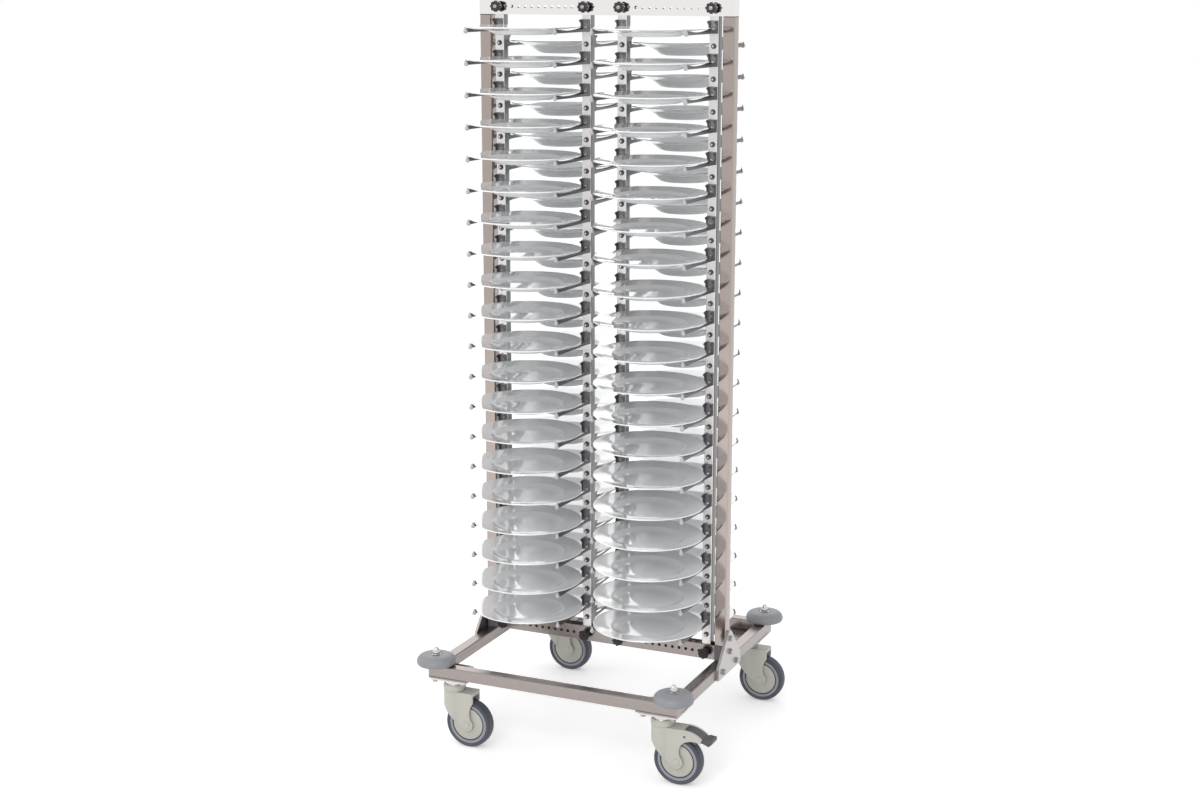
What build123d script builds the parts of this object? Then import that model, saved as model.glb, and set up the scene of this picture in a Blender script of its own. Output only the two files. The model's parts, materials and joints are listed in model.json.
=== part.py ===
from build123d import *
import os

# Mobile plate rack: a base of square tube on four swivel castors, a frame standing across its middle,
# four posts clamped in the frame's two channels, and brackets on the posts that hold plates on both sides.
# Millimetres, +Z up, X along the rack, -Y the loading side that faces the viewer, Z = 0 on the floor.
# Every part is made about the rack's own middle plane, and write() moves it so that the origin is under
# the middle of the whole object's box: all four castors trail towards +X, so that middle lies beside it.

# ---- driving dimensions ------------------------------------------------------------------------------

overall_height = 1883
base_length = 685          # X, over the outer faces of the side rails
base_depth = 692           # Y, over the outer faces of the front and back tubes
base_underside = 187       # height of the base tubes' lower face
tube_size = 30
tube_wall = 2
bend_radius = 2.5

crossbar_height = 39.5     # both channels: 30 deep, folded from 2 mm sheet
crossbar_sheet = 2
end_cap = 2                # flat plates that close tube and channel ends

post_size = 25
hole_pitch = 18.5          # row of clamp holes along both channels
holes_per_column = 14
column_offset = 168.5      # plate columns stand this far left and right of the middle
clamp_hole_radius = 4

level_count = 20
level_pitch = 78.4
top_level = 1819           # rim height of the highest front plate
back_drop = level_pitch / 2

plate_radius = 140
plate_offset = 115         # plate centre in front of, or behind, the posts' middle

wheel_radius = 62.5
wheel_half_width = 16
castor_inset_x = 53.5      # swivel axis from the base's outer faces
castor_inset_y = 40
castor_trail = 44          # axle behind the swivel axis

bumper_radius = 50
bumper_height = 27.5

# ---- places that follow from them --------------------------------------------------------------------

half_length = base_length / 2
half_depth = base_depth / 2
tube_half = tube_size / 2
base_top = base_underside + tube_size
rail_mid = base_underside + tube_half
rail_x = half_length - tube_half
cross_tube_y = half_depth - tube_half
post_half = post_size / 2
outer_post = (holes_per_column - 1) * hole_pitch / 2      # post's distance from its column's middle
low_channel_top = base_top + crossbar_height
high_channel_bottom = overall_height - crossbar_height
low_hole_z = base_top + crossbar_height / 2
high_hole_z = overall_height - crossbar_height / 2
castor_x = half_length - castor_inset_x
castor_y = half_depth - castor_inset_y
insert_flange = 2
insert_plug = 12

columns = (-column_offset, column_offset)
post_places = {
    "post_left_outer": -column_offset - outer_post,
    "post_left_inner": -column_offset + outer_post,
    "post_right_inner": column_offset - outer_post,
    "post_right_outer": column_offset + outer_post,
}
front_levels = [top_level - n * level_pitch for n in range(level_count)]
back_levels = [z - back_drop for z in front_levels]
hole_places = [
    column + (n - (holes_per_column - 1) / 2) * hole_pitch
    for column in columns
    for n in range(holes_per_column)
]
castor_places = {
    "front_left": (-castor_x, -castor_y),
    "front_right": (castor_x, -castor_y),
    "back_left": (-castor_x, castor_y),
    "back_right": (castor_x, castor_y),
}
braked_castors = ("front_right", "back_left")

pedal_reach = 136          # brake pedal's tip beyond the swivel axis
box_low_x = -(rail_x + bumper_radius)
box_high_x = castor_x + pedal_reach
middle_to_origin = -(box_low_x + box_high_x) / 2

os.makedirs("parts", exist_ok=True)


def write(name, part):
    placed = part.moved(Location((middle_to_origin, 0, 0)))
    placed.label = name
    export_step(placed, f"parts/{name}.step")


# The same solid at many places, written together as one group.
def group(solids):
    return Compound(children=solids)


def copies(solid, places):
    return [solid.moved(Location(place)) for place in places]


# ---- base frame --------------------------------------------------------------------------------------

bolt_hole_radius = 4.2
bolt_radius = 4
stud_radius = 5
stud_hole_radius = 5.3
castor_bolts = (40, 30)    # half the castor plate's hole spacing, X and Y
gusset_rail_bolt_y = 48


# A square tube with rounded corners, standing on the given plane.
def square_tube(plane, size, length):
    with BuildPart() as tube:
        with BuildSketch(plane):
            RectangleRounded(size, size, bend_radius)
            RectangleRounded(size - 2 * tube_wall, size - 2 * tube_wall, bend_radius / 2, mode=Mode.SUBTRACT)
        extrude(amount=length)
    return tube.part


# Front and back tubes run the full length and have their ends closed.
def cross_tube(side):
    y = side * cross_tube_y
    start = Plane(origin=(-half_length + end_cap, y, rail_mid), x_dir=(0, 1, 0), z_dir=(1, 0, 0))
    low_wall_z = base_underside + tube_wall / 2
    bolt_y = side * (castor_y + castor_bolts[1])
    with BuildPart() as tube:
        add(square_tube(start, tube_size, base_length - 2 * end_cap))
        with Locations(*[(x, y, base_top) for x in (-rail_x, rail_x)]):
            Cylinder(stud_hole_radius, tube_size / 2, mode=Mode.SUBTRACT)
        bolt_x = [sign * (castor_x + step) for sign in (-1, 1) for step in (-castor_bolts[0], castor_bolts[0])]
        with Locations(*[(x, bolt_y, low_wall_z) for x in bolt_x]):
            Cylinder(bolt_hole_radius, 2 * tube_wall, mode=Mode.SUBTRACT)
    with BuildPart() as caps:
        with Locations(*[(sign * (half_length - end_cap / 2), y, rail_mid) for sign in (-1, 1)]):
            Box(end_cap, tube_size, tube_size)
    return group(tube.part.solids() + caps.part.solids())


# Side rails butt between the two cross tubes. The outer wall takes the gusset's bolts.
def side_rail(side):
    x = side * rail_x
    run = base_depth - 2 * tube_size
    start = Plane(origin=(x, -run / 2, rail_mid), x_dir=(1, 0, 0), z_dir=(0, 1, 0))
    bolt_x = side * (castor_x + castor_bolts[0])
    bolt_y = castor_y - castor_bolts[1]
    with BuildPart() as rail:
        add(square_tube(start, tube_size, run))
        with Locations(*[(bolt_x, y, base_underside + tube_wall / 2) for y in (-bolt_y, bolt_y)]):
            Cylinder(bolt_hole_radius, 2 * tube_wall, mode=Mode.SUBTRACT)
        outer_wall = side * (half_length - tube_wall / 2)
        with Locations(*[(outer_wall, y, rail_mid) for y in (-gusset_rail_bolt_y, gusset_rail_bolt_y)]):
            Cylinder(bolt_hole_radius, 2 * tube_wall, rotation=(0, 90, 0), mode=Mode.SUBTRACT)
    return rail.part


corner_plate_size = 110
corner_plate_thickness = 4
corner_plate_chamfer = 40
castor_plate_thickness = 4
castor_plate_length = 104
castor_plate_width = 80
castor_plate_top = base_underside - corner_plate_thickness
castor_plate_bottom = castor_plate_top - castor_plate_thickness


# One plate under each corner of the base carries a castor.
def corner_plate(side_x, side_y):
    outer = (side_x * half_length, side_y * half_depth)
    inner = (outer[0] - side_x * corner_plate_size, outer[1] - side_y * corner_plate_size)
    stem = (side_x * castor_x, side_y * castor_y)
    with BuildPart() as plate:
        with BuildSketch(Plane.XY.offset(castor_plate_top)):
            with BuildLine():
                Polyline(
                    outer,
                    (outer[0], inner[1]),
                    (inner[0] + side_x * corner_plate_chamfer, inner[1]),
                    (inner[0], inner[1] + side_y * corner_plate_chamfer),
                    (inner[0], outer[1]),
                    close=True,
                )
            make_face()
            with Locations(stem):
                with GridLocations(2 * castor_bolts[0], 2 * castor_bolts[1], 2, 2):
                    Circle(bolt_hole_radius, mode=Mode.SUBTRACT)
        extrude(amount=corner_plate_thickness)
    return plate.part


# ---- frame across the middle -------------------------------------------------------------------------

gusset_bolt_z = (low_hole_z + 5, low_channel_top + 20.5)      # into the end block, and into the upright


# The folded channel, standing open at the top; the upper one is turned over.
def channel(length, closed_ends):
    inner_length = length - 2 * end_cap if closed_ends else length
    with BuildPart() as bar:
        with BuildSketch(Plane.YZ.offset(-length / 2)):
            Rectangle(tube_size, crossbar_height)
        extrude(amount=length)
        fillet(bar.edges().filter_by(Axis.X).group_by(Axis.Z)[0], bend_radius)
        with Locations((0, 0, crossbar_sheet)):
            Box(inner_length, tube_size - 2 * crossbar_sheet, crossbar_height, mode=Mode.SUBTRACT)
        with Locations(*[(x, 0, 0) for x in hole_places]):
            Cylinder(clamp_hole_radius, 2 * tube_size, rotation=(90, 0, 0), mode=Mode.SUBTRACT)
    return bar.part


def bottom_crossbar():
    return channel(base_length - 2 * tube_size, False).moved(Location((0, 0, low_hole_z)))


def top_crossbar():
    return channel(base_length, True).moved(Location((0, 0, high_hole_z), (180, 0, 0)))


# Blocks close the channels' ends: the lower ones stand on the rails under the uprights, and the upper
# ones sit inside the top channel over them.
def crossbar_end_blocks():
    top_width = tube_size - 2 * crossbar_sheet
    top_height = crossbar_height - crossbar_sheet
    blocks = []
    for side in (-1, 1):
        with BuildPart() as low_block:
            with Locations((side * rail_x, 0, low_hole_z)):
                Box(tube_size, tube_size, crossbar_height)
            chamfer(low_block.edges().filter_by(Axis.Z), 1)
            with Locations((side * half_length, 0, gusset_bolt_z[0])):
                Cylinder(bolt_hole_radius, 2 * tube_half, rotation=(0, 90, 0), mode=Mode.SUBTRACT)
        with BuildPart() as high_block:
            with Locations((side * rail_x, 0, high_channel_bottom + top_height / 2)):
                Box(top_width, top_width, top_height)
        blocks += [low_block.part.solid(), high_block.part.solid()]
    return group(blocks)


def upright(side):
    start = Plane.XY.offset(low_channel_top + insert_flange)
    run = high_channel_bottom - low_channel_top - 2 * insert_flange
    with BuildPart() as tube:
        add(square_tube(Plane(origin=(side * rail_x, 0, start.origin.Z)), tube_size, run))
        with Locations((side * (half_length - tube_wall / 2), 0, gusset_bolt_z[1])):
            Cylinder(bolt_hole_radius, 2 * tube_wall, rotation=(0, 90, 0), mode=Mode.SUBTRACT)
    return tube.part


# Moulded inserts in both ends of the uprights: a flange between tube and channel, and a plug.
def upright_inserts():
    plug_size = tube_size - 2 * tube_wall - 0.2
    with BuildPart() as insert:
        with BuildSketch():
            RectangleRounded(tube_size, tube_size, bend_radius)
        extrude(amount=insert_flange)
        with BuildSketch(Plane.XY.offset(insert_flange)):
            RectangleRounded(plug_size, plug_size, bend_radius / 2)
        extrude(amount=insert_plug)
    solids = []
    for side in (-1, 1):
        solids.append(insert.part.solid().moved(Location((side * rail_x, 0, low_channel_top))))
        solids.append(insert.part.solid().moved(Location((side * rail_x, 0, high_channel_bottom), (180, 0, 0))))
    return group(solids)


gusset_depth = 7           # outer face of the gusset beyond the frame's outer face
gusset_sheet = 2
gusset_half_width = 80
gusset_top_radius = 20


# The gusset's outline: two upright lower edges, and straight flanks up to a round top.
def gusset_outline(inset):
    with BuildSketch() as outline:
        with Locations((0, gusset_bolt_z[1])):
            Circle(gusset_top_radius - inset)
        with Locations((0, rail_mid)):
            Rectangle(2 * (gusset_half_width - inset), tube_size)
        make_hull()
    return outline.sketch


# A shallow pan: its lip stands on the frame's outer face and its foot is open.
def gusset_plate(side):
    outer_plane = Plane(origin=(side * (half_length + gusset_depth), 0, 0), x_dir=(0, side, 0), z_dir=(side, 0, 0))
    bolts = [(0, z) for z in gusset_bolt_z] + [(y, rail_mid) for y in (-gusset_rail_bolt_y, gusset_rail_bolt_y)]
    with BuildPart() as pan:
        with BuildSketch(outer_plane):
            add(gusset_outline(0))
        extrude(amount=-gusset_depth)
        with BuildSketch(outer_plane.offset(-gusset_sheet)):
            add(gusset_outline(gusset_sheet))
            with Locations((0, base_underside)):
                Rectangle(2 * (gusset_half_width - gusset_sheet), 2 * gusset_sheet)
        extrude(amount=-gusset_depth, mode=Mode.SUBTRACT)
        with BuildSketch(outer_plane):
            with Locations(*bolts):
                Circle(bolt_hole_radius)
        extrude(amount=-gusset_depth, mode=Mode.SUBTRACT)
    return pan.part


# ---- frame fasteners ---------------------------------------------------------------------------------

bolt_head_height = 5.5
bolt_head_radius = 7.5     # across the corners of a 13 mm hexagon
washer_radius = 8.5
washer_thickness = 1.5
gusset_bolt_length = 20
castor_bolt_length = 20


# A hexagon bolt whose head stands above the plane and whose shank runs down from it.
def hex_bolt(length):
    with BuildPart() as bolt:
        with BuildSketch():
            Circle(bolt_radius)
        extrude(amount=-length)
        with BuildSketch():
            Circle(washer_radius)
        extrude(amount=washer_thickness)
        with BuildSketch(Plane.XY.offset(washer_thickness)):
            RegularPolygon(bolt_head_radius, 6)
        extrude(amount=bolt_head_height)
        chamfer(bolt.edges().group_by(Axis.Z)[-1], 0.8)
    return bolt.part


def ring(outer, inner, height):
    with BuildPart() as part:
        with BuildSketch():
            Circle(outer)
            Circle(inner, mode=Mode.SUBTRACT)
        extrude(amount=height)
    return part.part


def hex_nut(corner_radius, bore, height):
    with BuildPart() as nut:
        with BuildSketch():
            RegularPolygon(corner_radius, 6)
            Circle(bore, mode=Mode.SUBTRACT)
        extrude(amount=height)
    return nut.part


# Bolts of the gussets, with the spacers inside the pans, and the bolts that hold the castors.
def frame_bolts():
    gusset_bolt = hex_bolt(gusset_bolt_length).solid()
    spacer = ring(washer_radius, bolt_hole_radius, gusset_depth - gusset_sheet).solid()
    castor_bolt = hex_bolt(castor_bolt_length).solid()
    plate_nut = hex_nut(bolt_head_radius, bolt_hole_radius, bolt_head_height).solid()
    solids = []
    for side in (-1, 1):
        spots = [(0, z) for z in gusset_bolt_z] + [(y, rail_mid) for y in (-gusset_rail_bolt_y, gusset_rail_bolt_y)]
        for y, z in spots:
            face = Location((side * (half_length + gusset_depth), y, z), (0, side * 90, 0))
            solids.append(gusset_bolt.moved(face))
            solids.append(spacer.moved(Location((side * half_length, y, z), (0, side * 90, 0))))
    for x, y in castor_places.values():
        for step_x in (-castor_bolts[0], castor_bolts[0]):
            for step_y in (-castor_bolts[1], castor_bolts[1]):
                spot = (x + step_x, y + step_y)
                solids.append(castor_bolt.moved(Location((*spot, castor_plate_bottom), (180, 0, 0))))
                inside_frame = abs(spot[0]) < castor_x and abs(spot[1]) < castor_y
                if inside_frame:
                    solids.append(plate_nut.moved(Location((*spot, base_underside))))
    return group(solids)


# ---- corner bumpers ----------------------------------------------------------------------------------

bumper_dish = 2
stud_length_in_tube = 12
dome_nut_hex = 8
dome_nut_radius = 9.8
dome_radius = 7.5
dome_washer_radius = 11


def bumper():
    with BuildPart() as disc:
        with BuildSketch(Plane.XZ):
            with BuildLine():
                Polyline((stud_hole_radius, bumper_height - bumper_dish), (stud_hole_radius, 0), (42, 0))
                ThreePointArc((42, 0), (48, 3), (bumper_radius, 9.5))
                ThreePointArc((bumper_radius, 9.5), (44.5, 21.5), (26, bumper_height))
                Line((26, bumper_height), (15, bumper_height))
                Line((15, bumper_height), (12, bumper_height - bumper_dish))
                Line((12, bumper_height - bumper_dish), (stud_hole_radius, bumper_height - bumper_dish))
            make_face()
        revolve(axis=Axis.Z)
    return disc.part


def bumper_fastener():
    nut_base = bumper_height - bumper_dish + washer_thickness
    with BuildPart() as stud:
        with BuildSketch(Plane.XY.offset(-stud_length_in_tube)):
            Circle(stud_radius)
        extrude(amount=stud_length_in_tube + nut_base + dome_nut_hex)
    with BuildPart() as nut:
        with BuildSketch(Plane.XY.offset(nut_base)):
            RegularPolygon(dome_nut_radius, 6)
        extrude(amount=dome_nut_hex)
        with Locations((0, 0, nut_base + dome_nut_hex)):
            Sphere(dome_radius, arc_size1=0)
        with BuildSketch(Plane.XY.offset(nut_base)):
            Circle(stud_radius)
        extrude(amount=dome_nut_hex, mode=Mode.SUBTRACT)
    washer = ring(dome_washer_radius, stud_radius, washer_thickness)
    washer = washer.moved(Location((0, 0, bumper_height - bumper_dish)))
    return [stud.part.solid(), nut.part.solid(), washer.solid()]


# ---- posts, clamps and brackets ----------------------------------------------------------------------

post_gap = 1
screw_radius = 2.5
screw_hole_radius = 2.6
screw_drop = 7             # bracket screw below the level's rim height
knob_nut_height = 5


def post(x):
    bottom = base_top + crossbar_sheet
    top = overall_height - crossbar_sheet - post_gap
    with BuildPart() as tube:
        add(square_tube(Plane(origin=(x, 0, bottom)), post_size, top - bottom))
        with Locations(*[(x, 0, z) for z in (low_hole_z, high_hole_z)]):
            Cylinder(clamp_hole_radius, 2 * post_size, rotation=(90, 0, 0), mode=Mode.SUBTRACT)
        with Locations(*[(x, 0, z - screw_drop) for z in front_levels + back_levels]):
            Cylinder(screw_hole_radius, 2 * post_size, rotation=(90, 0, 0), mode=Mode.SUBTRACT)
    return tube.part


# Nuts welded inside the posts' front walls take the knobs' studs.
def clamp_nuts():
    nut = hex_nut(6.6, 3.4, knob_nut_height).solid()
    face_y = -post_half + tube_wall
    places = [(x, face_y, z) for x in post_places.values() for z in (low_hole_z, high_hole_z)]
    return group([nut.moved(Location(place, (-90, 0, 0))) for place in places])


bracket_top = 14.4         # heights of the bracket about the plate's rim
bracket_foot = -16.3
arm_foot = -15.5
bracket_depth = 11.5
arm_tip = -195
bracket_sheet = 2


# A front bracket, about the post's axis and the level's rim height. It is one folded sheet: a web screwed
# to the post, and two blades that run together towards the tip. A beak over the plate's rim keeps
# the plate from tipping, and the blades' upper edges dip along the rim's underside.
def bracket():
    face = -post_half
    throat = face - bracket_depth
    with BuildPart() as sheet:
        with BuildSketch(Plane.XY.offset(bracket_foot)):
            with BuildLine():
                Polyline((-11, face), (11, face), (2.6, arm_tip), (-2.6, arm_tip), close=True)
            make_face()
            with BuildLine():
                Polyline((-9.2, face - bracket_sheet), (9.2, face - bracket_sheet), (0.9, -182), (-0.9, -182), close=True)
            make_face(mode=Mode.SUBTRACT)
        extrude(amount=bracket_top - bracket_foot)
        with BuildSketch(Plane.YZ):
            with BuildLine():
                Polyline((throat, -5.8), (throat, 5), (-36, 12), (throat, bracket_top), (face, bracket_top))
                Polyline((face, bracket_top), (face, bracket_foot), (throat, bracket_foot), (throat - 4, arm_foot))
                Polyline((throat - 4, arm_foot), (arm_tip, arm_foot), (arm_tip, -5.5), (-186, -5.5))
                ThreePointArc((-186, -5.5), (-112, -10.8), (throat, -5.8))
            make_face()
        extrude(amount=tube_size, both=True, mode=Mode.INTERSECT)
        with Locations((0, face, -screw_drop)):
            Cylinder(screw_hole_radius, 3 * bracket_sheet, rotation=(90, 0, 0), mode=Mode.SUBTRACT)
    return sheet.part.solid()


cap_reach = 143.8          # cap's axis from the plate's centre
cap_y = -plate_offset - (cap_reach**2 - outer_post**2) ** 0.5


cap_belly_radius = 5.6
cap_nose_radius = 2
cap_belly_z = -18.5 + cap_belly_radius
pocket_end = arm_tip - cap_y - 0.1      # the arm's tip sits in a pocket that is open towards the post
pocket_length = 10
pocket_width = 6
pocket_height = 10.2
pocket_mid = -10.5


# The moulded cap on an arm's tip is a drop, narrow above where the rim lies beside it.
def arm_cap():
    with BuildPart() as drop:
        with BuildSketch(Plane.XZ):
            with BuildLine():
                Line((0, -2), (0, -18.5))
                CenterArc((0, cap_belly_z), cap_belly_radius, -90, 90)
                Line((cap_belly_radius, cap_belly_z), (cap_nose_radius, -2 - cap_nose_radius))
                CenterArc((0, -2 - cap_nose_radius), cap_nose_radius, 0, 90)
            make_face()
        revolve(axis=Axis.Z)
        with Locations((0, pocket_end + pocket_length / 2, pocket_mid)):
            Box(pocket_width, pocket_length, pocket_height, mode=Mode.SUBTRACT)
    return drop.part.solid().moved(Location((0, cap_y, 0)))


# The screw's head lies on the bracket's web, between its blades; its nut is on the post's far face.
def bracket_screw():
    web_y = -post_half - bracket_sheet
    tail = post_half + 7
    axis_plane = Plane(origin=(0, web_y, -screw_drop), x_dir=(1, 0, 0), z_dir=(0, 1, 0))
    with BuildPart() as screw:
        with BuildSketch(axis_plane):
            Circle(screw_radius)
        extrude(amount=tail - web_y)
        with BuildSketch(axis_plane):
            Circle(4.5)
        extrude(amount=-3)
    nut_plane = Plane(origin=(0, post_half, -screw_drop), x_dir=(1, 0, 0), z_dir=(0, 1, 0))
    with BuildPart() as nut:
        with BuildSketch(nut_plane):
            Circle(6.8)
            Circle(screw_radius, mode=Mode.SUBTRACT)
        extrude(amount=1)
        with BuildSketch(nut_plane.offset(1)):
            RegularPolygon(5.6, 6)
            Circle(screw_radius, mode=Mode.SUBTRACT)
        extrude(amount=4)
    return [screw.part.solid(), nut.part.solid()]


# Puts one front piece at every level of the given posts, in front and turned round behind.
def on_posts(solid, posts, sides):
    placed = []
    for x in posts:
        if "front" in sides:
            placed += [solid.moved(Location((x, 0, z))) for z in front_levels]
        if "back" in sides:
            placed += [solid.moved(Location((x, 0, z), (0, 0, 180))) for z in back_levels]
    return placed


# ---- clamp knobs -------------------------------------------------------------------------------------

knob_gap = 1
knob_hub_length = 9
knob_head_length = 13
knob_lobes = 8
knob_stud_radius = 3
knob_stud_end = -4


# A star knob with its stud moulded in, about the post's axis at the clamp hole's height.
def knob():
    hub_plane = Plane(origin=(0, -tube_half - knob_gap, 0), x_dir=(1, 0, 0), z_dir=(0, -1, 0))
    head_plane = hub_plane.offset(knob_hub_length)
    with BuildPart() as star:
        with BuildSketch(hub_plane):
            Circle(8.5)
        extrude(amount=knob_hub_length)
        with BuildSketch(head_plane):
            Circle(11.8)
            with PolarLocations(11, knob_lobes):
                Circle(3)
        extrude(amount=knob_head_length)
        chamfer(star.faces().sort_by(Axis.Y)[0].edges(), 0.8)
        with BuildSketch(Plane(origin=(0, knob_stud_end, 0), x_dir=(1, 0, 0), z_dir=(0, -1, 0))):
            Circle(knob_stud_radius)
        extrude(amount=tube_half + knob_gap + knob_hub_length + knob_head_length + knob_stud_end + 0.6)
    return star.part


# ---- castors, about the swivel axis ------------------------------------------------------------------

turret_radius = 29
turret_neck_radius = 23
turret_neck_bottom = 165
turret_bottom = 148.5
fork_top = 147.5
fork_roof = 139.5
column_radius = 28         # the fork's round front, under the turret
fork_half_width = 22.5
fork_inner_half = 17.5
kingpin_radius = 6
running_gap = 0.05
kingpin_head_radius = 10
lobe_radius = 17
axle_radius = 5
axle_z = wheel_radius
pedal_pivot = (65.6, 131.7)
pedal_pin_radius = 3


# The fixed half: a plate bolted under the corner, the turret's neck and ring, and the kingpin.
def castor_mount():
    with BuildPart() as mount:
        with BuildSketch(Plane.XY.offset(castor_plate_bottom)):
            RectangleRounded(castor_plate_length, castor_plate_width, 8)
            with GridLocations(2 * castor_bolts[0], 2 * castor_bolts[1], 2, 2):
                Circle(bolt_hole_radius, mode=Mode.SUBTRACT)
        extrude(amount=castor_plate_thickness)
        with BuildSketch(Plane.XZ):
            with BuildLine():
                Polyline(
                    (0, fork_roof - 4.5),
                    (kingpin_head_radius, fork_roof - 4.5),
                    (kingpin_head_radius, fork_roof - 0.5),
                    (kingpin_radius, fork_roof - 0.5),
                    (kingpin_radius, turret_bottom),
                    (turret_radius, turret_bottom),
                    (turret_radius, turret_neck_bottom - 4),
                    (turret_radius - 3, turret_neck_bottom),
                    (turret_neck_radius, turret_neck_bottom),
                    (turret_neck_radius, castor_plate_bottom),
                    (0, castor_plate_bottom),
                    close=True,
                )
            make_face()
        revolve(axis=Axis.Z)
    return mount.part.solid()


# The fork seen from the side, X behind the swivel axis and Z up, without and with the brake's hood.
def fork_profile(braked):
    with BuildSketch(Plane.XZ) as profile:
        with BuildLine():
            Polyline((-column_radius - 1, 122), (-column_radius - 1, fork_top), (30, fork_top))
            if braked:
                Line((30, fork_top), (64, fork_top + 1))
                ThreePointArc((64, fork_top + 1), (90, 143.5), (111, 131))
                Line((111, 131), (107, 119.5))
                ThreePointArc((107, 119.5), (91, 122.5), (76, 120.6))
                ThreePointArc((76, 120.6), (59, 111), (51, 95))
                ThreePointArc((51, 95), (53, 80), (60, 66))
            else:
                Polyline((30, fork_top), (62, fork_top), (62, 122))
                ThreePointArc((62, 122), (54.5, 108), (52, 94))
                ThreePointArc((52, 94), (53.5, 80), (60, 66))
            Polyline((60, 66), (castor_trail, axle_z), (33.5, 50), (17, 64), (-17, 102))
            ThreePointArc((-17, 102), (-26, 111), (-column_radius - 1, 122))
        make_face()
        with Locations((castor_trail, axle_z)):
            Circle(lobe_radius)
    return profile.sketch


# The fork is a round column that the cheeks run out of, hollow below its roof, with the brake's slot.
def fork(braked):
    far_x = 114 if braked else 62
    cavity_start = -22
    with BuildPart() as body:
        with BuildSketch(Plane.XZ):
            add(fork_profile(braked))
        extrude(amount=column_radius, both=True)
        with BuildSketch():
            with Locations((far_x / 2 - 5, 0)):
                RectangleRounded(far_x + 10, 2 * fork_half_width, 4)
            Circle(column_radius)
        extrude(amount=2 * fork_top, mode=Mode.INTERSECT)
        with Locations((cavity_start, 0, 0)):
            Box(
                far_x + 2 * wheel_radius,
                2 * fork_inner_half,
                fork_roof,
                align=(Align.MIN, Align.CENTER, Align.MIN),
                mode=Mode.SUBTRACT,
            )
        if braked:
            with Locations((pedal_pivot[0] - 2.6, 0, 0)):
                Box(
                    far_x,
                    2 * fork_inner_half,
                    2 * fork_top,
                    align=(Align.MIN, Align.CENTER, Align.MIN),
                    mode=Mode.SUBTRACT,
                )
            with Locations((pedal_pivot[0], 0, pedal_pivot[1])):
                Cylinder(pedal_pin_radius + running_gap, 4 * fork_half_width, rotation=(90, 0, 0), mode=Mode.SUBTRACT)
        with BuildSketch(Plane.XY.offset(fork_roof)):
            Circle(kingpin_radius + running_gap)
        extrude(amount=fork_top - fork_roof, mode=Mode.SUBTRACT)
        with Locations((castor_trail, 0, axle_z)):
            Cylinder(axle_radius, 4 * fork_half_width, rotation=(90, 0, 0), mode=Mode.SUBTRACT)
    return body.part


# A through bolt with a low round cap each side.
def axle():
    cap_start = Plane.XZ.offset(-fork_half_width)
    with BuildPart() as bolt:
        with BuildSketch(cap_start):
            with Locations((castor_trail, axle_z)):
                Circle(axle_radius)
        extrude(amount=2 * fork_half_width)
        for sign in (-1, 1):
            with BuildSketch(Plane.XZ.offset(sign * fork_half_width)):
                with Locations((castor_trail, axle_z)):
                    Circle(9)
            extrude(amount=sign * 2)
        chamfer(bolt.faces().sort_by(Axis.Y)[0].edges(), 0.8)
        chamfer(bolt.faces().sort_by(Axis.Y)[-1].edges(), 0.8)
    return bolt.part


# Turns a half section, given as radius and distance from the wheel's middle plane, into a wheel part.
def wheel_part(points):
    with BuildPart() as part:
        with BuildSketch(Plane.XY):
            with BuildLine():
                Polyline(*points, close=True)
            make_face()
        revolve(axis=Axis.Y)
    return part.part.moved(Location((castor_trail, 0, axle_z)))


tread_radius = 52          # rim of the wheel centre, where the rubber starts
guard_radius = 42


# The wheel centre, and a thread guard disc let into each side of it.
def hub():
    bore = axle_radius + running_gap
    centre = wheel_part([
        (bore, -17), (12, -17), (12, -12.5), (guard_radius + 1.5, -12.5), (guard_radius + 1.5, -14),
        (tread_radius, -14), (tread_radius, 14), (guard_radius + 1.5, 14), (guard_radius + 1.5, 12.5),
        (12, 12.5), (12, 17), (bore, 17),
    ])
    low_guard = wheel_part([(12, -12.5), (12, -14.5), (guard_radius - 1, -14.5), (guard_radius, -13.8), (guard_radius, -12.5)])
    high_guard = wheel_part([(12, 12.5), (12, 14.5), (guard_radius - 1, 14.5), (guard_radius, 13.8), (guard_radius, 12.5)])
    return group([centre.solid(), low_guard.solid(), high_guard.solid()])


def tyre():
    with BuildPart() as ring_part:
        with BuildSketch(Plane.XY):
            with BuildLine():
                Polyline((wheel_radius, -8), (wheel_radius, 8))
                ThreePointArc((wheel_radius, 8), (60.4, 13.6), (55.5, wheel_half_width))
                Polyline((55.5, wheel_half_width), (tread_radius, 14.5), (tread_radius, -14.5), (55.5, -wheel_half_width))
                ThreePointArc((55.5, -wheel_half_width), (60.4, -13.6), (wheel_radius, -8))
            make_face()
        revolve(axis=Axis.Y)
    return ring_part.part.moved(Location((castor_trail, 0, axle_z)))


pedal_half_width = 16.5


# The pedal lies in the hood, turns on a pin through its cheeks, and has a pad over the tyre.
def brake_pedal():
    with BuildPart() as pedal:
        with BuildSketch(Plane.XZ):
            with BuildLine():
                Line((64.2, 124.5), (64.2, 147.5))
                ThreePointArc((64.2, 147.5), (90, 142.5), (113, 130.5))
                Polyline((113, 130.5), (121, 133), (pedal_reach, 131), (pedal_reach, 122), (127, 113.5))
                Polyline((127, 113.5), (112, 119.5), (98, 121), (92, 112.5), (82, 118), (78, 124.5), (64.2, 124.5))
            make_face()
        extrude(amount=pedal_half_width, both=True)
        with BuildSketch(Plane.XZ):
            with Locations(pedal_pivot):
                Circle(pedal_pin_radius)
        extrude(amount=fork_half_width - 1.5, both=True)
    return pedal.part


# ---- plates ------------------------------------------------------------------------------------------

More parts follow.
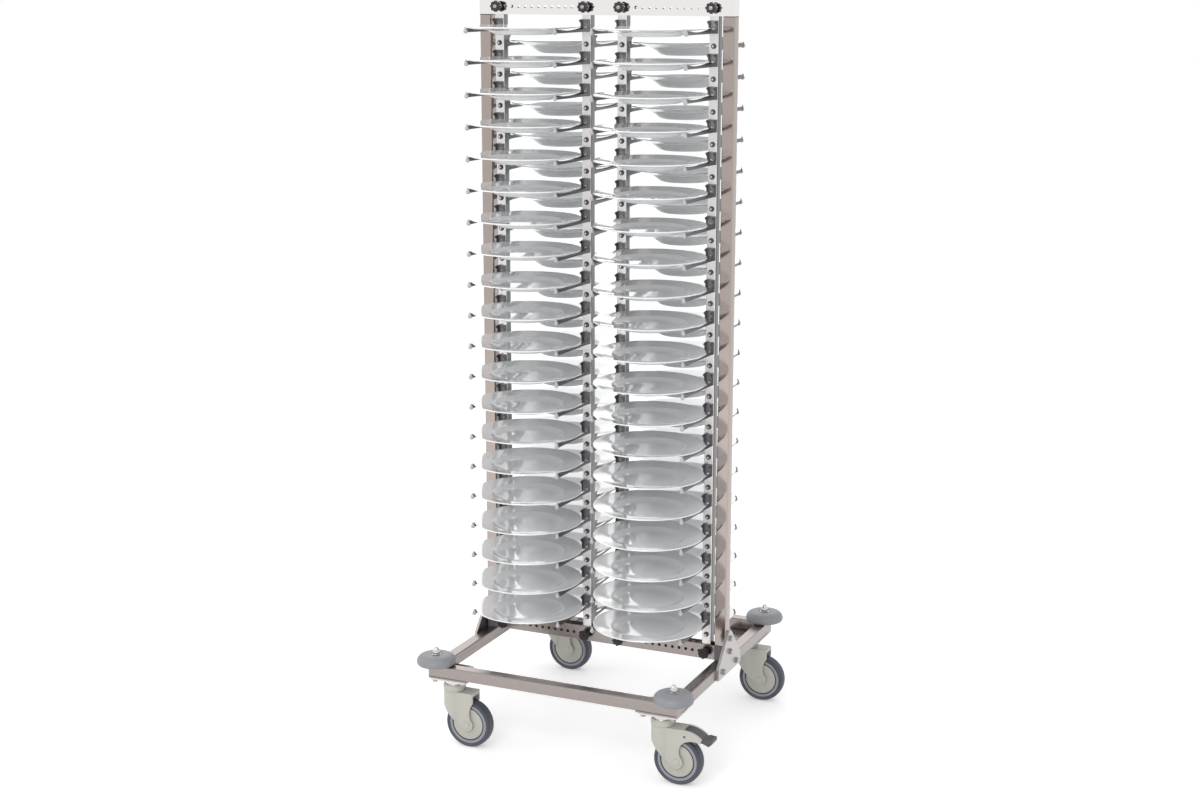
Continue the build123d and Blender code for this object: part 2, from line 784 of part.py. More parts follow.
# Sections of the plates as radius and height below the rim's upper edge. The front arms hold flat dinner
# plates, and the back arms deep ones.
dinner_top = [(0, -15.8), (76, -15), (93, -6.8)]
dinner_under = [(91, -10.6), (76, -18.6), (70, -20.6), (64, -20.6), (61, -18.8), (0, -18.8)]
dinner_bends = [76, 93, 91]
deep_top = [(0, -28.5), (64, -27.5), (94, -8.5)]
deep_under = [(91, -14.6), (66, -31.6), (60.5, -34), (56, -34), (53.5, -31.6), (0, -31.6)]
deep_bends = [64, 94, 91]
plate_edge = 3.2


def plate(top, under, bends, bend_radius):
    with BuildPart() as dish:
        with BuildSketch(Plane.XZ) as section:
            with BuildLine():
                Polyline(*top, (plate_radius, 0), (plate_radius, -plate_edge), *under, close=True)
            make_face()
            fillet(section.vertices().group_by(Axis.X)[-1], 1.4)
            fillet([v for v in section.vertices() if any(abs(v.X - r) < 0.01 for r in bends)], bend_radius)
        revolve(axis=Axis.Z)
    return dish.part.solid()


# ---- the whole cart ----------------------------------------------------------------------------------

write("base_front_tube", cross_tube(-1))
write("base_back_tube", cross_tube(1))
write("base_left_rail", side_rail(-1))
write("base_right_rail", side_rail(1))
write("corner_plates", group([corner_plate(x, y).solid() for x in (-1, 1) for y in (-1, 1)]))
write("bottom_crossbar", bottom_crossbar())
write("top_crossbar", top_crossbar())
write("crossbar_end_blocks", crossbar_end_blocks())
write("upright_left", upright(-1))
write("upright_right", upright(1))
write("upright_inserts", upright_inserts())
write("gusset_plates", group([gusset_plate(side).solid() for side in (-1, 1)]))
write("frame_bolts", frame_bolts())

corners = [(x * rail_x, y * cross_tube_y, base_top) for x in (-1, 1) for y in (-1, 1)]
write("corner_bumpers", group(copies(bumper().solid(), corners)))
write("bumper_fasteners", group([copy for solid in bumper_fastener() for copy in copies(solid, corners)]))

for name, x in post_places.items():
    write(name, post(x))
write("clamp_nuts", clamp_nuts())

one_bracket = bracket()
left_posts = [post_places["post_left_outer"], post_places["post_left_inner"]]
right_posts = [post_places["post_right_inner"], post_places["post_right_outer"]]
all_posts = left_posts + right_posts
for side in ("front", "back"):
    write(f"brackets_{side}", group(on_posts(one_bracket, all_posts, (side,))))
write("arm_caps", group(on_posts(arm_cap(), all_posts, ("front", "back"))))
screw, screw_nut = bracket_screw()
write("bracket_screws", group(on_posts(screw, all_posts, ("front", "back"))))
write("bracket_nuts", group(on_posts(screw_nut, all_posts, ("front", "back"))))

one_knob = knob()
for place, x in post_places.items():
    for height, z in (("top", high_hole_z), ("bottom", low_hole_z)):
        write(place.replace("post", f"knob_{height}"), one_knob.moved(Location((x, 0, z))))

mounts = [castor_mount().moved(Location((x, y, 0))) for x, y in castor_places.values()]
write("castor_mounts", group(mounts))
one_axle, one_hub, one_tyre = axle(), hub(), tyre()
plain_fork, brake_fork, one_pedal = fork(False), fork(True), brake_pedal()
for name, (x, y) in castor_places.items():
    stem = Location((x, y, 0))
    write(f"fork_{name}", (brake_fork if name in braked_castors else plain_fork).moved(stem))
    write(f"axle_{name}", one_axle.moved(stem))
    write(f"wheel_hub_{name}", one_hub.moved(stem))
    write(f"tyre_{name}", one_tyre.moved(stem))
    if name in braked_castors:
        write(f"brake_pedal_{name}", one_pedal.moved(stem))

dinner_plate = plate(dinner_top, dinner_under, dinner_bends, 4)
deep_plate = plate(deep_top, deep_under, deep_bends, 9)
for side, sign, levels, one_plate in (("front", -1, front_levels, dinner_plate), ("back", 1, back_levels, deep_plate)):
    for column, x in zip(("left", "right"), columns):
        spots = [(x, sign * plate_offset, z) for z in levels]
        write(f"top_plate_{side}_{column}", one_plate.moved(Location(spots[0])))
        write(f"plates_{side}_{column}", group(copies(one_plate, spots[1:])))
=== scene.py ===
# Mobile plate rack on four swivel castors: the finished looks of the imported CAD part.
import json
import math

import bmesh
import bpy
from mathutils import Matrix, Vector


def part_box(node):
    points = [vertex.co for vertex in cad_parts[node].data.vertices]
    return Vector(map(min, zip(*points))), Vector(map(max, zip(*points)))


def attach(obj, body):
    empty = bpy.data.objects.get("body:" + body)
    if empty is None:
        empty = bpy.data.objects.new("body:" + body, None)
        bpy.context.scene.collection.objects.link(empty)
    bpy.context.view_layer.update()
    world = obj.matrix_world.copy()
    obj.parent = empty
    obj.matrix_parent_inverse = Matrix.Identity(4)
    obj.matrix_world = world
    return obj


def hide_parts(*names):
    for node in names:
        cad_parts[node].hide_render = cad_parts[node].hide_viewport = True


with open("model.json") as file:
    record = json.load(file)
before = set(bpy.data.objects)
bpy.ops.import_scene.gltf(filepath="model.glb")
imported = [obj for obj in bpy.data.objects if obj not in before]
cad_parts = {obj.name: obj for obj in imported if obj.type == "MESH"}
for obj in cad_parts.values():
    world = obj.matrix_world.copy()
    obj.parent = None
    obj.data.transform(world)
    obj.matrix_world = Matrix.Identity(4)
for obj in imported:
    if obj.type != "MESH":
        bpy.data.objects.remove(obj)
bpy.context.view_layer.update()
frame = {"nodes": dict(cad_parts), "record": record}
bodies = frame["record"]["behaviour"]["bodies"]
bodyOfNode = {node: body for body, nodes in bodies.items() for node in nodes}
castorNames = ("front_left", "front_right", "back_left", "back_right")
mm = 0.001
print("frame loaded:", len(bodyOfNode), "nodes")

# The camera stands where the photograph's did, and looks down at the rack.
camera = {
    "place": (1.9246, -4.3904, 1.9513),
    "turn": 0.4208,
    "tilt": 0.221,
    "focalPixels": 1913.2,
    "imageWidth": 1200,
    "sensor": 36.0,
    "farthest": 100,
}


def addCamera():
    data = bpy.data.cameras.new("camera")
    data.sensor_width = camera["sensor"]
    data.lens = camera["sensor"] * camera["focalPixels"] / camera["imageWidth"]
    data.clip_end = camera["farthest"]
    viewer = bpy.data.objects.new("camera", data)
    viewer.location = camera["place"]
    viewer.rotation_euler = (math.pi / 2 - camera["tilt"], 0, camera["turn"])
    bpy.context.scene.collection.objects.link(viewer)
    bpy.context.scene.camera = viewer
    print("camera placed")


# Noise scales per metre, apart from the brushed sheet's two, whose coordinates come stretched.
noiseScales = {
    "brushLines": 1.0,
    "smudges": 0.012,
    "slowTone": 14.0,
    "specks": 420.0,
    "grime": 60.0,
}
skinRoughnessSpread = 0.12
finishOutputs = [
    ("Colour", "NodeSocketColor"),
    ("Roughness", "NodeSocketFloat"),
    ("Height", "NodeSocketFloat"),
]


def newGroup(name, inputs, outputs):
    group = bpy.data.node_groups.new(name, "ShaderNodeTree")
    for socketName, kind, value in inputs:
        socket = group.interface.new_socket(socketName, in_out="INPUT", socket_type=kind)
        if value is not None:
            socket.default_value = value
    for socketName, kind in outputs:
        group.interface.new_socket(socketName, in_out="OUTPUT", socket_type=kind)
    return group, group.nodes.new("NodeGroupInput"), group.nodes.new("NodeGroupOutput")


# Gives a socket either a constant or another node's output.
def feed(tree, socket, value):
    if isinstance(value, (int, float)):
        socket.default_value = value
    else:
        tree.links.new(value, socket)


def mathNode(tree, operation, first, second, clamp=False):
    node = tree.nodes.new("ShaderNodeMath")
    node.operation = operation
    node.use_clamp = clamp
    feed(tree, node.inputs[0], first)
    feed(tree, node.inputs[1], second)
    return node.outputs[0]


# Brings a 0 to 1 value to base + (value - 0.5) * spread.
def spreadAround(tree, value, base, spread):
    centred = mathNode(tree, "SUBTRACT", value, 0.5)
    return mathNode(tree, "ADD", mathNode(tree, "MULTIPLY", centred, spread), base)


def tintNode(tree, colour, value, spread):
    tint = tree.nodes.new("ShaderNodeHueSaturation")
    tree.links.new(colour, tint.inputs["Color"])
    tree.links.new(spreadAround(tree, value, 1.0, spread), tint.inputs["Value"])
    return tint.outputs["Color"]


def noiseNode(tree, vector, scale, detail):
    noise = tree.nodes.new("ShaderNodeTexNoise")
    noise.inputs["Detail"].default_value = detail
    feed(tree, noise.inputs["Scale"], scale)
    tree.links.new(vector, noise.inputs["Vector"])
    return noise.outputs["Fac"]


# Fine lines along the sheet from the brushing belt, and wide smudges from hands and cloths.
def makeBrushedGroup():
    group, start, end = newGroup(
        "brushedSheet",
        [
            ("Vector", "NodeSocketVector", None),
            ("Colour", "NodeSocketColor", (0.6, 0.6, 0.6, 1)),
            ("Roughness", "NodeSocketFloat", 0.3),
            ("Grain", "NodeSocketFloat", 0.1),
            ("Smudge", "NodeSocketFloat", 0.08),
        ],
        finishOutputs,
    )
    given = start.outputs
    lines = noiseNode(group, given["Vector"], noiseScales["brushLines"], 4.0)
    wide = noiseNode(group, given["Vector"], noiseScales["smudges"], 2.0)
    rough = spreadAround(group, lines, given["Roughness"], given["Grain"])
    rough = spreadAround(group, wide, rough, given["Smudge"])
    tinted = tintNode(group, given["Colour"], lines, given["Grain"])
    group.links.new(tinted, end.inputs["Colour"])
    group.links.new(rough, end.inputs["Roughness"])
    group.links.new(lines, end.inputs["Height"])
    return group


# The even pebble of a moulded skin, with slow changes of tone.
def makeMouldedGroup():
    group, start, end = newGroup(
        "mouldedSkin",
        [
            ("Vector", "NodeSocketVector", None),
            ("Colour", "NodeSocketColor", (0.5, 0.5, 0.5, 1)),
            ("Roughness", "NodeSocketFloat", 0.5),
            ("Pebble", "NodeSocketFloat", 900.0),
            ("Mottle", "NodeSocketFloat", 0.1),
        ],
        finishOutputs,
    )
    given = start.outputs
    pebble = noiseNode(group, given["Vector"], given["Pebble"], 2.0)
    slow = noiseNode(group, given["Vector"], noiseScales["slowTone"], 3.0)
    specks = noiseNode(group, given["Vector"], noiseScales["specks"], 2.0)
    rough = spreadAround(group, slow, given["Roughness"], skinRoughnessSpread)
    tone = tintNode(group, given["Colour"], slow, given["Mottle"])
    tone = tintNode(group, tone, specks, given["Mottle"])
    group.links.new(tone, end.inputs["Colour"])
    group.links.new(rough, end.inputs["Roughness"])
    group.links.new(pebble, end.inputs["Height"])
    return group


# Dirt that settles: a mask that falls off with the height above the floor, broken up by noise.
def makeGrimeGroup():
    group, start, end = newGroup(
        "floorGrime",
        [
            ("Vector", "NodeSocketVector", None),
            ("Colour", "NodeSocketColor", (0.5, 0.5, 0.5, 1)),
            ("Grime Colour", "NodeSocketColor", (0.2, 0.19, 0.18, 1)),
            ("Amount", "NodeSocketFloat", 0.3),
            ("Reach", "NodeSocketFloat", 0.12),
        ],
        [("Colour", "NodeSocketColor")],
    )
    given = start.outputs
    split = group.nodes.new("ShaderNodeSeparateXYZ")
    group.links.new(given["Vector"], split.inputs[0])
    height = mathNode(group, "DIVIDE", split.outputs["Z"], given["Reach"])
    falling = mathNode(group, "SUBTRACT", 1.0, height, clamp=True)
    spots = noiseNode(group, given["Vector"], noiseScales["grime"], 4.0)
    broken = mathNode(group, "MULTIPLY", falling, spots)
    blend = group.nodes.new("ShaderNodeMix")
    blend.data_type = "RGBA"
    group.links.new(mathNode(group, "MULTIPLY", broken, given["Amount"]), blend.inputs["Factor"])
    group.links.new(given["Colour"], blend.inputs["A"])
    group.links.new(given["Grime Colour"], blend.inputs["B"])
    group.links.new(blend.outputs["Result"], end.inputs["Colour"])
    return group


brushedGroup = makeBrushedGroup()
mouldedGroup = makeMouldedGroup()
grimeGroup = makeGrimeGroup()


def newMaterial(name):
    material = bpy.data.materials.new(name)
    material.use_nodes = True
    tree = material.node_tree
    shader = next(node for node in tree.nodes if node.type == "BSDF_PRINCIPLED")
    return material, tree, shader


def placedCoordinates(tree, scale=(1, 1, 1)):
    coordinates = tree.nodes.new("ShaderNodeTexCoord")
    mapping = tree.nodes.new("ShaderNodeMapping")
    mapping.inputs["Scale"].default_value = scale
    tree.links.new(coordinates.outputs["Object"], mapping.inputs["Vector"])
    return mapping.outputs["Vector"]


def placeGroup(tree, group, vector, values):
    node = tree.nodes.new("ShaderNodeGroup")
    node.node_tree = group
    tree.links.new(vector, node.inputs["Vector"])
    for name, value in values.items():
        node.inputs[name].default_value = value
    return node


def linkBump(tree, shader, height, strength, distance):
    bump = tree.nodes.new("ShaderNodeBump")
    bump.inputs["Strength"].default_value = strength
    bump.inputs["Distance"].default_value = distance
    tree.links.new(height, bump.inputs["Height"])
    tree.links.new(bump.outputs["Normal"], shader.inputs["Normal"])


# Cycles per metre across the brushing and along it, and the grooves' depth in metres.
brushing = {"across": 2600, "along": 7, "depth": 0.0001}


# "along" names the axis that the brushed lines follow. Grain varies their tone and roughness.
def brushedSteel(name, colour, roughness, along, grain=0.1, smudge=0.08, bump=0.05):
    material, tree, shader = newMaterial(name)
    scale = [brushing["across"]] * 3
    scale["XYZ".index(along)] = brushing["along"]
    node = placeGroup(
        tree, brushedGroup, placedCoordinates(tree, scale),
        {"Colour": (*colour, 1), "Roughness": roughness, "Grain": grain, "Smudge": smudge},
    )
    tree.links.new(node.outputs["Colour"], shader.inputs["Base Color"])
    tree.links.new(node.outputs["Roughness"], shader.inputs["Roughness"])
    shader.inputs["Metallic"].default_value = 1.0
    linkBump(tree, shader, node.outputs["Height"], bump, brushing["depth"])
    return material


mouldedBump = {"strength": 0.15, "depth": 0.0003}


def mouldedPlastic(name, colour, roughness, pebble=900.0, mottle=0.08, grime=0.0, coat=0.0):
    material, tree, shader = newMaterial(name)
    vector = placedCoordinates(tree)
    node = placeGroup(
        tree, mouldedGroup, vector,
        {"Colour": (*colour, 1), "Roughness": roughness, "Pebble": pebble, "Mottle": mottle},
    )
    tone = node.outputs["Colour"]
    if grime:
        dirt = placeGroup(tree, grimeGroup, vector, {"Amount": grime})
        tree.links.new(tone, dirt.inputs["Colour"])
        tone = dirt.outputs["Colour"]
    tree.links.new(tone, shader.inputs["Base Color"])
    tree.links.new(node.outputs["Roughness"], shader.inputs["Roughness"])
    shader.inputs["Coat Weight"].default_value = coat
    linkBump(tree, shader, node.outputs["Height"], mouldedBump["strength"], mouldedBump["depth"])
    return material


glaze = {
    "skin": {"Colour": (0.90, 0.912, 0.92, 1), "Roughness": 0.12, "Pebble": 25.0, "Mottle": 0.02},
    "coat": 1.0,
    "coatRoughness": 0.04,
    "bump": 0.05,
    "depth": 0.001,
}


def glazedPorcelain(name):
    material, tree, shader = newMaterial(name)
    node = placeGroup(tree, mouldedGroup, placedCoordinates(tree), glaze["skin"])
    tree.links.new(node.outputs["Colour"], shader.inputs["Base Color"])
    tree.links.new(node.outputs["Roughness"], shader.inputs["Roughness"])
    shader.inputs["Coat Weight"].default_value = glaze["coat"]
    shader.inputs["Coat Roughness"].default_value = glaze["coatRoughness"]
    linkBump(tree, shader, node.outputs["Height"], glaze["bump"], glaze["depth"])
    return material


# Each steel has its colour, its roughness and the axis of its brushing.
steelWarm = (0.34, 0.30, 0.29)
polished = {"grain": 0.02, "smudge": 0.02, "bump": 0.01}
halfPolished = {"grain": 0.04, "smudge": 0.04, "bump": 0.02}
sheared = {"grain": 0.03, "smudge": 0.04}
steels = {
    "barSteel": (steelWarm, 0.27, "X", {}),
    "railSteel": (steelWarm, 0.27, "Y", {}),
    # Painted light: the top crossbar's steel is far paler than the same stainless on the bottom
    # crossbar and base, standing in for the light on the top of the rack.
    "topBarLitSteel": ((0.83, 0.81, 0.80), 0.05, "X", polished),
    "uprightSteel": ((0.40, 0.345, 0.32), 0.1, "Z", halfPolished),
    "postSteel": ((0.72, 0.705, 0.70), 0.22, "Z", {"grain": 0.05}),
    # Painted shade: the posts' side faces take a much darker copy of the post steel, standing in
    # for the dark that they face.
    "postSideSteel": ((0.22, 0.215, 0.215), 0.3, "Z", {"grain": 0.05}),
    "gussetSteel": ((0.5, 0.48, 0.46), 0.33, "Y", {}),
    # Painted shade: the brackets' steel is darkened far below bare steel to stand in for the shade
    # they sit in, and their front-facing webs take a less dark copy of it.
    "bracketSteel": ((0.15, 0.15, 0.158), 0.32, "Y", sheared),
    "webShadedSteel": ((0.25, 0.25, 0.26), 0.4, "Z", sheared),
    "nutSteel": ((0.13, 0.13, 0.135), 0.3, "X", {"grain": 0.04}),
    "platedSteel": ((0.62, 0.61, 0.6), 0.16, "Z", {"grain": 0.04}),
    "boltSteel": ((0.4, 0.39, 0.39), 0.25, "X", {"grain": 0.06}),
}
# Each plastic has its colour and its roughness.
plastics = {
    "blockPlastic": ((0.16, 0.15, 0.17), 0.5, {"mottle": 0.12}),
    "blackPlastic": ((0.012, 0.012, 0.013), 0.42, {"pebble": 1400.0}),
    "bumperPlastic": ((0.265, 0.27, 0.29), 0.4, {"pebble": 500.0, "mottle": 0.14}),
    "capPlastic": ((0.46, 0.46, 0.475), 0.3, {"coat": 0.3}),
    "forkPlastic": ((0.51, 0.502, 0.45), 0.42, {"mottle": 0.05, "grime": 0.25}),
    "hubPlastic": ((0.5, 0.492, 0.435), 0.4, {"mottle": 0.05, "grime": 0.25}),
    "ringPlastic": ((0.3, 0.305, 0.36), 0.35, {"mottle": 0.05, "grime": 0.2}),
    "groovePlastic": ((0.04, 0.042, 0.05), 0.6, {}),
    "tyreRubber": ((0.052, 0.056, 0.078), 0.55, {"pebble": 1200.0, "mottle": 0.12, "grime": 0.4}),
    "pedalPlastic": ((0.075, 0.077, 0.085), 0.45, {"pebble": 1200.0}),
}
materials = {}
for name, (colour, roughness, along, extras) in steels.items():
    materials[name] = brushedSteel(name, colour, roughness, along, **extras)
for name, (colour, roughness, extras) in plastics.items():
    materials[name] = mouldedPlastic(name, colour, roughness, **extras)
materials["porcelain"] = glazedPorcelain("porcelain")
print("materials made:", len(materials))

# Lengths in millimetres and angles in degrees, for all meshes.
meshing = {
    "weld": 0.01,
    "flatAngle": 0.6,
    "sharpAngle": 35,
    "copySharpAngle": 40,
    "bevelAngle": 35,
    "bevelSegments": 2,
}


def shadeSmooth(mesh, sharpAngle):
    for face in mesh.polygons:
        face.use_smooth = True
    mesh.set_sharp_from_angle(angle=math.radians(sharpAngle))


def finishMesh(shape, name, sharpAngle=meshing["sharpAngle"]):
    mesh = bpy.data.meshes.new(name)
    bmesh.ops.recalc_face_normals(shape, faces=shape.faces)
    shape.to_mesh(mesh)
    shape.free()
    shadeSmooth(mesh, sharpAngle)
    return mesh


# A node such as top_plate_front_left is dressed by the piece topPlateFrontLeft.
def pieceName(node):
    first, *others = node.split("_")
    return first + "".join(word.title() for word in others)


def addPiece(node, mesh, slot, *finishes):
    piece = bpy.data.objects.new(pieceName(node), mesh)
    bpy.context.scene.collection.objects.link(piece)
    for finish in finishes:
        mesh.materials.append(materials[finish])
    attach(piece, bodyOfNode[node])
    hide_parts(node)
    return piece


# Turns an open profile of (radius, height) points in millimetres about the Z axis.
def spunShape(points, steps):
    shape = bmesh.new()
    corners = [shape.verts.new((radius * mm, 0, height * mm)) for radius, height in points]
    edges = [shape.edges.new(pair) for pair in zip(corners, corners[1:])]
    bmesh.ops.spin(
        shape, geom=corners + edges, cent=(0, 0, 0), axis=(0, 0, 1), dvec=(0, 0, 0),
        angle=2 * math.pi, steps=steps, use_merge=True, use_duplicate=False,
    )
    bmesh.ops.remove_doubles(shape, verts=shape.verts, dist=meshing["weld"] * mm)
    return shape


# Tips a spun form forwards, so that its Z axis points to the front, and moves it to its place.
def tippedForwards(shape, spot):
    quarterTurn = Matrix.Rotation(math.pi / 2, 3, "X")
    bmesh.ops.rotate(shape, verts=shape.verts, cent=(0, 0, 0), matrix=quarterTurn)
    bmesh.ops.translate(shape, verts=shape.verts, vec=spot)
    return shape


# Cuts the corners of a profile twice over, so that a few points make a smooth form. Its ends stay.
def easedProfile(points):
    for _ in range(2):
        eased = [points[0]]
        for (r0, z0), (r1, z1) in zip(points, points[1:]):
            eased.append((0.75 * r0 + 0.25 * r1, 0.75 * z0 + 0.25 * z1))
            eased.append((0.25 * r0 + 0.75 * r1, 0.25 * z0 + 0.75 * z1))
        points = eased + [points[-1]]
    return points


# Eases a profile whose first and last corners stay sharp.
def easedInside(points):
    return [points[0], *easedProfile(points[1:-1]), points[-1]]


# Joins separate forms, and tells at which face each of them starts.
def joinedShape(forms, sharpAngle=meshing["sharpAngle"]):
    whole, starts = bmesh.new(), []
    for form in forms:
        starts.append(len(whole.faces))
        whole.from_mesh(finishMesh(form, "form", sharpAngle))
    whole.faces.ensure_lookup_table()
    return whole, starts


def copiesAt(mesh, spots, name):
    shape = bmesh.new()
    for spot in spots:
        shape.from_mesh(mesh)
        fresh = shape.verts[-len(mesh.vertices):]
        bmesh.ops.translate(shape, verts=fresh, vec=spot)
    return finishMesh(shape, name)


# A CAD node's mesh is loose triangles: its copy is welded and its flat faces are joined,
# and then its edges are rounded by a bevel of that width in millimetres.
def softCopy(node, slot, finish, width, sharpAngle=meshing["copySharpAngle"]):
    shape = bmesh.new()
    shape.from_mesh(frame["nodes"][node].data)
    bmesh.ops.remove_doubles(shape, verts=shape.verts, dist=meshing["weld"] * mm)
    flat = math.radians(meshing["flatAngle"])
    bmesh.ops.dissolve_limit(shape, angle_limit=flat, verts=shape.verts, edges=shape.edges)
    mesh = bpy.data.meshes.new(node)
    shape.to_mesh(mesh)
    shape.free()
    shadeSmooth(mesh, sharpAngle)
    piece = addPiece(node, mesh, slot, finish)
    if width:
        bevel = piece.modifiers.new("roundedEdges", "BEVEL")
        bevel.width = width * mm
        bevel.segments = meshing["bevelSegments"]
        bevel.limit_method = "ANGLE"
        bevel.angle_limit = math.radians(meshing["bevelAngle"])
        bevel.harden_normals = True
    return piece


# Gives the faces that a test picks another finish.
def recolour(piece, finish, picks):
    piece.data.materials.append(materials[finish])
    slotNumber = len(piece.data.materials) - 1
    for face in piece.data.polygons:
        if picks(face):
            face.material_index = slotNumber


def looksAlong(face, axis):
    return abs(face.normal["XYZ".index(axis)]) > 0.9


def middleOf(node):
    low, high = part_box(node)
    return (low + high) / 2


# The steel pieces' finishes and the widths of their bevels in millimetres.
frameFinish = {
    "base_front_tube": ("barSteel", 0),
    "base_back_tube": ("barSteel", 0),
    "base_left_rail": ("railSteel", 0),
    "base_right_rail": ("railSteel", 0),
    "bottom_crossbar": ("barSteel", 0.3),
    # Painted light: the top crossbar takes the paler steel.
    "top_crossbar": ("topBarLitSteel", 0.3),
    "upright_left": ("uprightSteel", 0),
    "upright_right": ("uprightSteel", 0),
    "gusset_plates": ("gussetSteel", 0.6),
    "corner_plates": ("barSteel", 0.5),
}
# Distances from the cart's middle plane: the bent webs lie inside the first, and the screws'
# tails outside the second.
arms = {"webReach": 16, "screwTailReach": 17}


def isWeb(face):
    return looksAlong(face, "Y") and abs(face.center.y) < arms["webReach"] * mm


def makeFrame():
    for node, (finish, width) in frameFinish.items():
        softCopy(node, "stainless", finish, width)
    for side in ("left", "right"):
        for place in ("outer", "inner"):
            post = softCopy(f"post_{side}_{place}", "stainless_post", "postSteel", 0)
            # Painted shade: the faces looking along X take the darker copy of the post steel.
            recolour(post, "postSideSteel", lambda face: looksAlong(face, "X"))
    softCopy("crossbar_end_blocks", "block_plastic", "blockPlastic", 0.8)
    softCopy("upright_inserts", "black_plastic", "blackPlastic", 0)
    for side in ("front", "back"):
        # Painted shade: the brackets take the darkened steel, and their front-facing webs a less
        # dark copy of it.
        brackets = softCopy(f"brackets_{side}", "bracket_steel", "bracketSteel", 0.25)
        recolour(brackets, "webShadedSteel", isWeb)
    softCopy("frame_bolts", "fastener", "boltSteel", 0.3)
    softCopy("clamp_nuts", "fastener", "platedSteel", 0)
    # The screws' heads take the same darkened bracket steel, painted shade; their tails are
    # plated.
    screws = softCopy("bracket_screws", "fastener", "bracketSteel", 0)
    recolour(screws, "platedSteel", lambda face: abs(face.center.y) > arms["screwTailReach"] * mm)
    softCopy("bracket_nuts", "fastener", "nutSteel", 0.4)
    softCopy("arm_caps", "cap_plastic", "capPlastic", 0, sharpAngle=60)
    print("frame made")


# The outline goes from the underside around the rim to the dished seat of the washer.
bumper = {
    "steps": 72,
    "radius": 50,
    "bore": 5.4,
    "bottom": 0.2,
    "seat": 25.5,
    "outline": [(38, 0.2), (44, 0.5), (48.8, 3), (50, 8), (50, 12), (48.2, 18), (43, 23.6),
                (34, 27), (24, 27.6), (16, 27.6), (14, 26.4), (12, 25.5)],
}
domeNut = {
    "steps": 32,
    "base": 27,
    "hexRadius": 9.8,
    "hexHeight": 9,
    "hexBevel": 0.7,
    "domeRadius": 7.8,
    "domeHeight": 11,
    "domeSunk": 0.3,
    "domeSteps": 9,
    "washer": [(5.2, 25.5), (11.5, 25.5), (11.5, 26.9), (5.2, 26.9), (5.2, 25.5)],
    "stud": [(0, -12), (4.9, -12), (4.9, 30), (0, 30)],
    "studSteps": 20,
    "sharpAngle": 40,
}


def hexShape(radius, bottom, height, bevel):
    shape = bmesh.new()
    middle = Matrix.Translation((0, 0, (bottom + height / 2) * mm))
    bmesh.ops.create_cone(
        shape, cap_ends=True, segments=6, radius1=radius * mm, radius2=radius * mm,
        depth=height * mm, matrix=middle,
    )
    bmesh.ops.bevel(
        shape, geom=shape.edges[:], offset=bevel * mm, affect="EDGES", segments=2, profile=0.5,
        material=-1,
    )
    return shape


def domeNutMesh():
    nut = domeNut
    top = nut["base"] + nut["hexHeight"]
    angles = [math.pi / 2 * step / nut["domeSteps"] for step in range(nut["domeSteps"] + 1)]
    dome = [
        (nut["domeRadius"] * math.cos(angle),
         top - nut["domeSunk"] + nut["domeHeight"] * math.sin(angle))
        for angle in angles
    ]
    whole, _ = joinedShape([
        hexShape(nut["hexRadius"], nut["base"], nut["hexHeight"], nut["hexBevel"]),
        spunShape(dome, nut["steps"]),
        spunShape(nut["washer"], nut["steps"]),
        spunShape(nut["stud"], nut["studSteps"]),
    ], nut["sharpAngle"])
    return finishMesh(whole, "domeNut", nut["sharpAngle"])


def makeBumpers():
    low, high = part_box("corner_bumpers")
    inset = bumper["radius"] * mm
    spots = [Vector((x, y, low.z)) for x in (low.x + inset, high.x - inset)
             for y in (low.y + inset, high.y - inset)]
    bore, seat = bumper["bore"], bumper["seat"]
    profile = [(bore, seat), (bore, bumper["bottom"]), *bumper["outline"], (bore, seat)]
    disc = finishMesh(spunShape(easedInside(profile), bumper["steps"]), "bumperDisc")
    discs = copiesAt(disc, spots, "cornerBumpers")
    addPiece("corner_bumpers", discs, "bumper_plastic", "bumperPlastic")
    nuts = copiesAt(domeNutMesh(), spots, "bumperFasteners")
    addPiece("bumper_fasteners", nuts, "fastener", "platedSteel")
    print("bumpers made")


# Distances are from the rack's middle plane to the front. Each ring of the star head has its
# scale and its distance, and the spun forms have their profiles and where they start.
knob = {
    "lobes": 8,
    "stepsPerLobe": 10,
    "inner": 11.4,
    "outer": 14,
    "lobeFullness": 0.6,
    "rings": [(0.62, 24.5), (0.93, 24.5), (1.0, 25.9), (1.0, 35.8), (0.94, 37.5), (0.82, 38),
              (0.45, 37.1)],
    "hub": {"start": 16, "steps": 32, "profile": [(0, 0), (8.5, 0), (8.5, 8.5), (0, 8.5)]},
    "disc": {"start": 37.3, "steps": 28,
             "profile": [(0, 1.4), (3.2, 1.4), (4.4, 1.2), (5.2, 0.2), (5.2, -2), (0, -2)]},
    "stud": {"start": 4, "steps": 20,
             "profile": [(0, 0), (2.6, 0), (3, 0.6), (3, 12.5), (0, 12.5)]},
}


def lobedRing(shape, scale, distance):
    count = knob["lobes"] * knob["stepsPerLobe"]
    verts = []
    for step in range(count):
        angle = 2 * math.pi * step / count
        wave = (0.5 + 0.5 * math.cos(knob["lobes"] * angle)) ** knob["lobeFullness"]
        radius = (knob["inner"] + (knob["outer"] - knob["inner"]) * wave) * scale
        x, z = radius * mm * math.sin(angle), radius * mm * math.cos(angle)
        verts.append(shape.verts.new((x, -distance * mm, z)))
    return [shape.edges.new((a, b)) for a, b in zip(verts, verts[1:] + verts[:1])]


